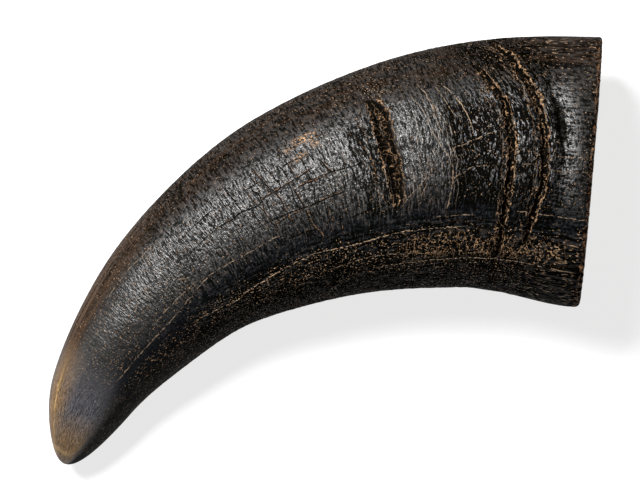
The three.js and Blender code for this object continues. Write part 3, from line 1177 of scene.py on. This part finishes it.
@dataclass(frozen=True)
class WeatheredKeratin:
    """Water buffalo horn keratin: grown dark, dried and weathered outside, rubbed at the tip, raw within.

    Dry keratin with painted shade and sheen: its valleys are painted near-black and without shine as shade,
    its crests are rubbed satin and painted paler as sheen, and straw-coloured fibre ends show where it
    tears.
    No real horn was measured for it: the grain is taken to be about 1 mm from fold to fold, as in the
    record's size, and single fibres finer than the 0.34 mm of a pixel. So folds, crumbs and veins are drawn
    0.4 to 1 mm wide, at which they just show.
    """

    name: str = "weathered_horn_keratin"
    ior: float = 1.5
    # the grown, pigmented horn: satin where hands have rubbed it, and without shine in the shade of a fold
    grown: Look = Look("#080706", 0.36, 0.5)
    worn: Look = Look("#181716")
    # painted reflection: a cool blue-black sheen
    painted_blue_sheen: Look = Look("#0b0e12")
    brown: Look = Look("#251a12")
    dull: Look = Look(None, 0.6, 0.02)
    # rubbed crests of the folds, painted paler: partly wear, partly painted sheen
    crest: Look = Look("#292624")
    fold_shade: Look = Look("#020201", 0.6, 0.0)
    crease_shade: Look = Look("#020201", 0.7, 0.0)
    crack_shade: Look = Look("#020201", 0.7, 0.1)
    film: Look = Look("#1f1b18")
    # torn and dried fibres, which are pale because they scatter the light
    crumb: Look = Look(Shade("#2f2219", "#a68766", 0.9, 18), 0.55, 0.2)
    curl: Look = Look(STRAW, 0.55, 0.2)
    flake: Look = Look(STRAW, 0.5, 0.3)
    lip: Look = Look(STRAW, 0.6, 0.3)
    growth_thread: Look = Look("#8c8074", 0.45, 0.4)
    single_thread: Look = Look(Shade("#6e5844", "#b39c82"), 0.5)
    crack_edge: Look = Look("#75583e", 0.5)
    torn: Look = Look(Shade("#1d130d", "#8a6a4b", 1.0, 27), 0.6, 0.2)
    rust: Look = Look(Shade("#1a100a", "#805838", 0.9, 28), 0.65, 0.2)
    # horn where the dark outside is rubbed through, and the fibres that stay in sight there
    # painted highlight: bare horn painted pale blue-grey, as the sheen along the tip's middle
    bare: Look = Look("#55545b", 0.3, 0.6)
    horn_brown: Look = Look("#3d2b1c", 0.5, 0.1)
    amber: Look = Look("#82602f", 0.34, 0.35)
    amber_light: Look = Look("#b08d58", 0.34)
    tip_fibre: Look = Look("#080706", 0.5, 0.1)
    # the hollow's wall, which was never rubbed
    raw: Look = Look(Shade("#4a3a2c", "#a08462", 6.0, 22), 0.75, 0.3)
    veins: tuple[Vein, ...] = (
        Vein(-1.15, 0.22, 0.38, 51),
        Vein(0.1, 0.15, 0.5, 52),
        Vein(1.15, 0.19, 0.4, 53),
        Vein(2.4, 0.14, 0.5, 54),
    )

    def material(self) -> bpy.types.Material:
        """Builds the material, from the ground up to what lies on top of it.

        Returns:
            The material, with its shader linked.
        """
        material = bpy.data.materials.new(self.name)
        material.use_nodes = True
        tree = material.node_tree
        tree.nodes.clear()
        at = Places(tree)
        coat = Coat(tree, at.straight, self.grown)
        self.ground(coat, at)
        self.grain(coat, at)
        self.tiles(coat, at)
        self.crumbs(coat, at)
        self.creases(coat, at)
        self.growth_threads(coat, at)
        self.single_lines(coat)
        self.veins_along(coat, at)
        self.rim(coat, at)
        self.tip(coat, at)
        self.hollow(coat, at)
        self.dust(coat)
        bump = add(tree, "ShaderNodeBump", {"Strength": 1.0, "Distance": MM, "Height": coat.height})
        inputs = {
            "Base Color": coat.colour,
            "Roughness": coat.roughness,
            "IOR": self.ior,
            "Specular IOR Level": coat.shine,
            "Normal": bump,
        }
        shader = add(tree, "ShaderNodeBsdfPrincipled", inputs)
        add(tree, "ShaderNodeOutputMaterial", {"Surface": shader})
        return material

    def troughs(self, coat: Coat, at: Places) -> Source:
        """The two valleys of the ridged part, where the skin is painted dark as shade.

        Args:
            coat: The finish under way.
            at: Where a point lies.

        Returns:
            The mask.
        """
        valleys = coat.either(
            coat.where((coat.line(at.growth, 35.0, 15.0), 0.1, 0.6)),
            coat.where((coat.line(at.growth, 68.0, 9.0), 0.0, 0.7), 0.7),
            coat.where((coat.line(at.growth, 20.0, 4.5), 0.0, 0.6), 0.6),
        )
        middle = coat.where((coat.line(at.outer, 3.0, 20.0), 0.0, 0.5))
        return coat.where(valleys, middle, (at.upper, 0.0, 12.0))

    def ground(self, coat: Coat, at: Places) -> None:
        """Worn clouds, a painted blue-black sheen in a band, and duller and browner towards both edges.

        Args:
            coat: The finish under way.
            at: Where a point lies.
        """
        # worn patches are about as wide as a finger
        coat.cover(coat.where((coat.clouds((16, 9, 9), 5, 1.0), 0.45, 0.62)), self.worn)
        # painted reflection: a cool blue-black sheen in a band between the upper side's middle and the keel
        blue = coat.where(coat.line(at.outer, -11.0, 13.0), (at.upper, 5.0, 20.0), 0.7)
        coat.cover(blue, self.painted_blue_sheen)
        streaks = coat.clouds((14, 1.5, 1.5), 3, 2.0, at.course)
        coat.cover(coat.where((at.outer, 15.0, 26.0), (streaks, 0.4, 0.62)), self.brown)
        dull = coat.either(
            (at.outer, 14.0, 24.0),
            (at.outer, 2.0, -11.0),
            (at.upper, 12.0, 2.0),
            (at.growth, 9.0, 0.5),
        )
        bare = coat.either((at.growth, 208.0, 185.0), (at.outer, -12.0, -20.0), (at.upper, 4.0, -4.0))
        coat.cover(coat.where(dull, bare), self.dull)

    def grain(self, coat: Coat, at: Places) -> None:
        """The crepe of dried keratin: short folds, painted black between them as shade, with crests painted
        paler, partly as rubbed wear and partly as painted sheen.

        Near the rim and along the keel the folds run along the horn, as its fibres do. Between them they run
        across it, as it grew.

        Args:
            coat: The finish under way.
            at: Where a point lies.
        """
        # for a grain of about 1 mm the folds are drawn 0.6 mm wide, and 3 to 5 mm long, as judged
        rough = coat.where((at.growth, 208.0, 130.0))
        lengthwise = coat.either((at.outer, -7.0, -15.0), coat.where((at.growth, 15.0, 8.0), 0.55))
        pebbles = coat.clouds((0.8, 1.0, 1.0), 2, 5.0)
        across = coat.clouds((0.6, 3.0, 3.0), 2, 6.0, coat.shaken(at.straight, 9.0, 1.2, 3.0))
        along = coat.clouds((5.0, 0.6, 0.6), 2, 7.0, coat.shaken(at.course, 9.0, 0.6, 4.0))
        folds = add(coat.tree, MIX, {0: lengthwise, 2: across, 3: along}, data_type="FLOAT")
        cloth = add(coat.tree, MIX, {0: 0.4, 2: folds, 3: pebbles}, data_type="FLOAT")
        coat.lift(coat.where(cloth, rough), 0.7)
        coat.lift(pebbles, 0.06)
        # painted shade: in the valleys and on the keel side, which faces away from the lamp, the folds are
        # painted blacker, and the valleys lose most pale crests; between the paired creases they are blacker
        # too
        low = self.troughs(coat, at)
        paired = coat.where((at.growth, 34.0, 22.0), (at.growth, 4.0, 10.0))
        deep = coat.either(paired, (at.outer, -8.0, -15.0), low)
        shift = add(coat.tree, MATHS, {0: low, 1: 0.9, 2: deep}, operation="MULTIPLY_ADD")
        level = add(coat.tree, MATHS, {0: shift, 1: -0.055, 2: cloth}, operation="MULTIPLY_ADD")
        full = add(coat.tree, MATHS, {0: deep, 1: 0.13, 2: 0.85}, operation="MULTIPLY_ADD")
        coat.cover(coat.where((level, 0.52, 0.42), rough, full), self.fold_shade)
        # crests painted paler: partly rubbed wear, partly painted sheen
        coat.cover(coat.where((level, 0.5, 0.6), rough, (low, 0.9, 0.1), 0.85), self.crest)

    def crumbs(self, coat: Coat, at: Places) -> None:
        """Torn fibre ends like crumbs, plainest along the keel, at the rim and about the creases.

        Args:
            coat: The finish under way.
            at: Where a point lies.
        """
        away = add(coat.tree, MATHS, {0: at.gap}, operation="ABSOLUTE")
        keel = coat.where((at.outer, -7.0, -15.0))
        edge = coat.where(coat.line(at.growth, 58.0, 22.0), coat.line(at.outer, 22.0, 6.0))
        dense = coat.either(
            coat.where(keel, 0.62),
            coat.where((at.growth, 20.0, 2.0), 0.4),
            coat.where((away, 4.0, 1.5), (at.depth, 0.4, 0.9), 0.4),
            coat.where(edge, 0.7),
            coat.where((at.growth, 105.0, 150.0), 0.45),
            0.2,
        )
        # fibre ends are taken to be finer than a pixel, and are drawn 0.4 to 0.8 mm across to show at all
        crowd = coat.clouds((12, 8, 8), 3, 16.0)
        dense = add(coat.tree, MATHS, {0: crowd, 1: 1.2, 2: dense}, operation="MULTIPLY_ADD")
        limit = add(coat.tree, MATHS, {0: dense, 1: -0.1, 2: 0.76}, operation="MULTIPLY_ADD")
        dots = coat.clouds((0.45, 0.6, 0.6), 1, 9.0)
        dashes = coat.clouds((0.8, 0.42, 0.42), 1, 10.0, at.course)
        bits = add(coat.tree, MIX, {0: keel, 2: dots, 3: dashes}, data_type="FLOAT")
        over = add(coat.tree, MATHS, {0: bits, 1: limit}, operation="SUBTRACT")
        kept_on_keel = coat.where((at.outer, -4.0, -9.0), (at.growth, 219.0, 212.0))
        left = coat.either((at.growth, 212.0, 188.0), kept_on_keel)
        crumb = coat.where((over, 0.0, 0.04), left, 0.85)
        coat.cover(crumb, self.crumb)
        coat.lift(crumb, 0.1)
        curls = coat.line(coat.clouds((1.7, 3.6, 3.6), 2, 37.0), 0.5, 0.028)
        keel_line = coat.line(at.outer, -17.5, 3.5)
        band = coat.where(keel_line, (at.upper, 8.0, 16.0), (at.growth, 66.0, 54.0))
        curls = coat.where(curls, band, (at.growth, 2.0, 8.0), (crowd, 0.36, 0.5))
        coat.cover(coat.where(curls, 0.9), self.curl)
        coat.lift(curls, 0.2)

    def tiles(self, coat: Coat, at: Places) -> None:
        """Drying cracks beyond the deep crease, across and along the horn, with plates of 3 by 7 mm left.

        Args:
            coat: The finish under way.
            at: Where a point lies.
        """
        zone = coat.where(
            (at.growth, 62.0, 74.0),
            (at.growth, 150.0, 115.0),
            coat.where((coat.line(at.outer, 0.0, 21.0), 0.0, 0.4)),
            (at.upper, 10.0, 20.0),
        )
        across = coat.where((coat.waves(at.growth, 3.4, 3.0, 40.0), 0.93, 1.0))
        parted_across = coat.where((coat.clouds((3.0, 24.0, 24.0), 1, 8.0), 0.46, 0.53))
        along = coat.where((coat.waves(at.outer, 6.5, 2.5, 41.0), 0.965, 1.0))
        parted_along = coat.where((coat.clouds((26.0, 4.0, 4.0), 1, 43.0, at.course), 0.46, 0.53))
        cracks = coat.either(coat.where(across, parted_across), coat.where(along, parted_along))
        cracks = coat.where(cracks, zone)
        coat.cover(coat.where(cracks, 0.9), self.fold_shade)
        coat.lift(cracks, -0.25)

    def growth_threads(self, coat: Coat, at: Places) -> None:
        """Fine growth lines across the upper side, 1.4 mm apart, rubbed pale.

        Args:
            coat: The finish under way.
            at: Where a point lies.
        """
        rings = coat.where((coat.waves(at.growth, 1.4, 2.6, 20.0), 0.72, 1.0))
        near_by = coat.where((coat.clouds((1.6, 20.0, 20.0), 1, 21.0), 0.48, 0.6))
        whole = coat.where((coat.clouds((1.0, 2.0, 2.0), 1, 26.0), 0.3, 0.6))
        ends = coat.where((at.growth, 38.0, 45.0), (at.growth, 88.0, 66.0))
        zone = coat.where(ends, coat.line(at.outer, 4.0, 17.0), (at.upper, 5.0, 18.0))
        coat.cover(coat.where(rings, near_by, whole, zone, 0.75), self.growth_thread)
        coat.lift(coat.where(rings, zone), 0.12)

    def near_line(self, coat: Coat, mark: Mark) -> tuple[Source, Source]:
        """Reads how far the skin is from the nearest single line of a kind.

        Args:
            coat: The finish under way.
            mark: The kind of line.

        Returns:
            The distance to one side of the line, frayed, and how plain the line is.
        """
        parts = add(coat.tree, SKIN_VALUE, attribute_name=mark.value).outputs["Vector"]
        away, plain, _ = add(coat.tree, SPLIT, {0: parts}).outputs
        return coat.frayed(away, 1.8, 0.6, 30.0), plain

    def single_lines(self, coat: Coat) -> None:
        """Single lines: pale threads, long cracks with a torn edge, and flakes that stand up.

        Args:
            coat: The finish under way.
        """
        torn = coat.where((coat.clouds((1.1, 1.1, 1.1), 1, 31.0), 0.4, 0.55))
        gap, plain = self.near_line(coat, Mark.THREAD)
        thread = coat.where(coat.line(gap, 0.0, 0.22), plain, torn)
        coat.cover(coat.where(thread, 0.85), self.single_thread)
        coat.lift(thread, 0.12)

        gap, plain = self.near_line(coat, Mark.CRACK)
        crack = coat.where(coat.line(gap, 0.0, 0.38), plain)
        edge = coat.where(coat.line(gap, -0.4, 0.2), plain, (torn, 0.6, 1.0))
        coat.cover(coat.where(edge, 0.8), self.crack_edge)
        coat.cover(crack, self.crack_shade)
        coat.lift(crack, -0.3)

        gap, plain = self.near_line(coat, Mark.FLAKE)
        broken = coat.where((coat.clouds((0.9, 0.7, 0.7), 2, 32.0), 0.5, 0.56))
        flake = coat.where(coat.where((coat.line(gap, 0.0, 1.9), 0.0, 0.6)), plain, broken)
        coat.cover(coat.where(flake, 0.9), self.flake)
        coat.lift(flake, 0.3)

    def creases(self, coat: Coat, at: Places) -> None:
        """Black pits where one growth ring ends on the next, with torn fibres across the widest.

        Args:
            coat: The finish under way.
            at: Where a point lies.
        """
        strength = coat.where((at.depth, 0.5, 0.9))
        gap = add(coat.tree, MATHS, {0: at.gap, 1: at.reach}, operation="DIVIDE")
        frayed = coat.frayed(gap, 1.0, 0.4, 24.0)
        hollowed = coat.where((coat.line(frayed, 0.15, 1.3), 0.0, 0.5), strength)
        coat.cover(coat.where(hollowed, 0.95), self.crease_shade)
        coat.lift(hollowed, -0.3)
        wide = coat.where((at.depth, 1.5, 1.8), coat.where((coat.line(gap, 0.0, 1.3), 0.0, 0.3)))
        # fibres that curl over 3 mm, and bits of less than 1 mm
        fibres = coat.line(coat.clouds((3.4, 2.6, 2.6), 1, 33.0), 0.5, 0.035)
        bits = coat.either(fibres, (coat.clouds((0.8, 0.7, 0.7), 1, 34.0), 0.66, 0.7))
        patches = coat.clouds((2.0, 3.0, 3.0), 1, 38.0)
        bits = coat.where(bits, wide, (patches, 0.36, 0.6))
        coat.cover(coat.where(bits, 0.8), self.torn)
        coat.lift(bits, 0.3)

    def veins_along(self, coat: Coat, at: Places) -> None:
        """The crumbling pale lips of the pits: thin veins that braid, with weaker ones beside them.

        Args:
            coat: The finish under way.
            at: Where a point lies.
        """
        strength = coat.where((at.depth, 0.9, 1.3))
        for vein in self.veins:
            middle = add(coat.tree, MATHS, {0: at.reach, 1: vein.offset}, operation="MULTIPLY")
            gap = coat.frayed(coat.frayed(at.gap, 3.0, 1.3, vein.seed), 1.0, 0.7, vein.seed + 8)
            bits = coat.clouds((1.0, 1.0, 1.0), 2, vein.seed + 4)
            whole = coat.where((bits, vein.gaps - 0.1, vein.gaps + 0.08))
            line = coat.where(coat.line(gap, middle, vein.width), strength, whole)
            coat.cover(line, self.lip)
            coat.lift(line, 0.3)

    def rim(self, coat: Coat, at: Places) -> None:
        """The sawn edge, rubbed rusty brown in bits, with a torn vein just inside it.

        Args:
            coat: The finish under way.
            at: Where a point lies.
        """
        sawn = coat.clouds((1.2, 1.2, 1.2), 3, 25.0)
        edge = coat.where((at.growth, 1.0, 0.1), (sawn, 0.5, 0.58))
        ragged = coat.frayed(at.growth, 2.0, 1.0, 29.0)
        vein = coat.where(coat.line(ragged, 0.8, 0.35), (sawn, 0.44, 0.54))
        coat.cover(coat.either(edge, vein), self.rust)

    def tip(self, coat: Coat, at: Places) -> None:
        """Rubbed through to bare horn, amber where it thins to the edges; the pale blue-grey of the middle
        is bare horn with a painted highlight.

        Args:
            coat: The finish under way.
            at: Where a point lies.
        """
        # polish leaves the horn's own fibres in sight, here at 1.6 by 0.45 mm
        clouds = coat.clouds((9, 4, 4), 4, 21.0, at.course)
        grain = coat.clouds((1.6, 0.45, 0.45), 2, 23.0, at.course)
        upper_side = coat.where((at.outer, -17.0, -6.0), (at.upper, 0.0, 8.0))
        # painted highlight: a pale blue-grey sheen along the tip's middle, over the bare horn
        bare = coat.where((at.growth, 180.0, 208.0), upper_side)
        coat.cover(coat.where(bare, 0.8), self.bare)
        streaks = coat.clouds((22.0, 1.6, 1.6), 3, 39.0, at.course)
        side = coat.where((at.growth, 125.0, 175.0), (at.outer, 17.0, 27.0), (streaks, 0.4, 0.62))
        coat.cover(coat.where(side, 0.8), self.horn_brown)
        edge = coat.either(
            coat.where((at.outer, 8.0, 22.0), (at.outer, 30.5, 26.0), (at.growth, 180.0, 206.0)),
            coat.where((at.growth, 199.0, 215.0), (at.outer, -17.0, -8.0), (at.upper, 0.0, 8.0)),
        )
        coat.cover(coat.where(edge, (clouds, 0.1, 0.5), 0.85), self.amber)
        side_line = coat.line(coat.frayed(at.outer, 8.0, 3.0, 35.0), 23.0, 1.5)
        end_line = coat.line(coat.frayed(at.growth, 6.0, 2.0, 36.0), 215.5, 1.4)
        ring = coat.either(
            coat.where(side_line, (at.growth, 186.0, 204.0)),
            coat.where(end_line, (at.outer, -14.0, 2.0)),
        )
        coat.cover(coat.where(ring, (clouds, 0.3, 0.5), 0.85), self.amber_light)
        coat.cover(coat.where((at.growth, 182.0, 200.0), (grain, 0.54, 0.38), 0.75), self.tip_fibre)
        coat.lift(coat.where(grain, (at.growth, 172.0, 204.0)), 1.1)

    def hollow(self, coat: Coat, at: Places) -> None:
        """Raw horn with the fibres that ran along the bone core.

        Args:
            coat: The finish under way.
            at: Where a point lies.
        """
        # bundles of fibres, 24 by 1.2 mm; single ones are too fine to show
        fibres = coat.clouds((24, 1.2, 1.2), 4, 22.0, at.course)
        coat.cover(at.inside, self.raw)
        coat.lift(coat.where(fibres, at.inside), 0.5)

    def dust(self, coat: Coat) -> None:
        """A film of dust on what is low, rough and dull.

        Args:
            coat: The finish under way.
        """
        low = coat.where((coat.height, 0.5, -0.3))
        coat.cover(coat.where((coat.roughness, 0.45, 0.65), (coat.shine, 0.4, 0.0), low, 0.12), self.film)


@dataclass(frozen=True)
class Studio:
    """A white table lit from below as well, a soft lamp, and the camera straight above the horn."""

    camera_height: float = 1200
    lens: float = 196.8
    sensor: float = 36
    near: float = 10
    far: float = 20000
    aim: tuple[float, float] = (-1.4, 4.1)
    lamp_place: tuple[float, float, float] = (-470, 540, 1000)
    lamp_size: float = 420
    lamp_power: float = 46.0
    surroundings: float = 0.05
    floor_size: float = 4000
    floor_colour: str = "#8c8c8c"
    floor_roughness: float = 0.9
    floor_glow: float = 0.78

    def build(self) -> None:
        """Builds the floor, the lights, the surroundings and the camera."""
        scene = bpy.context.scene
        scene.view_settings.view_transform = "Standard"
        self.floor()
        self.lamp()
        world = bpy.data.worlds.new("studio")
        world.use_nodes = True
        background = world.node_tree.nodes["Background"]
        background.inputs["Color"].default_value = (1, 1, 1, 1)
        background.inputs["Strength"].default_value = self.surroundings
        scene.world = world
        data = bpy.data.cameras.new("camera")
        data.lens = self.lens
        data.sensor_width = self.sensor
        data.clip_start = self.near * MM
        data.clip_end = self.far * MM
        camera = bpy.data.objects.new("camera", data)
        camera.location = (self.aim[0] * MM, self.aim[1] * MM, self.camera_height * MM)
        scene.collection.objects.link(camera)
        scene.camera = camera

    def lamp(self) -> None:
        """Adds a square soft light that faces the horn."""
        data = bpy.data.lights.new("key", "AREA")
        data.size = self.lamp_size * MM
        data.energy = self.lamp_power
        lamp = bpy.data.objects.new("key", data)
        lamp.location = Vector(self.lamp_place) * MM
        lamp.rotation_euler = (-lamp.location).to_track_quat("-Z", "Y").to_euler()
        bpy.context.scene.collection.objects.link(lamp)

    def floor(self) -> None:
        """Adds the table that the horn lies on. Its glow keeps the shadow pale."""
        reach = self.floor_size * MM / 2
        corners = [(-reach, -reach, 0), (reach, -reach, 0), (reach, reach, 0), (-reach, reach, 0)]
        mesh = bpy.data.meshes.new("floor")
        mesh.from_pydata(corners, [], [(0, 1, 2, 3)])
        material = bpy.data.materials.new("opal_white_acrylic")
        material.use_nodes = True
        shader = material.node_tree.nodes["Principled BSDF"]
        shader.inputs["Base Color"].default_value = linear(self.floor_colour)
        shader.inputs["Roughness"].default_value = self.floor_roughness
        shader.inputs["Emission Color"].default_value = (1, 1, 1, 1)
        shader.inputs["Emission Strength"].default_value = self.floor_glow
        mesh.materials.append(material)
        floor = bpy.data.objects.new("floor", mesh)
        bpy.context.scene.collection.objects.link(floor)


def main() -> None:
    """Builds the horn, its finish and the studio, and reports each piece."""
    logging.basicConfig(level=logging.INFO, format="%(message)s")
    skin = HornSkin().build()
    GrowthRelief().apply(skin, WeatheredKeratin().material())
    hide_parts(NODE)
    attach(skin, BODY)
    LOG.info("%s: %d triangles", skin.name, sum(len(p.vertices) - 2 for p in skin.data.polygons))
    Studio().build()


if __name__ == "__main__":
    main()
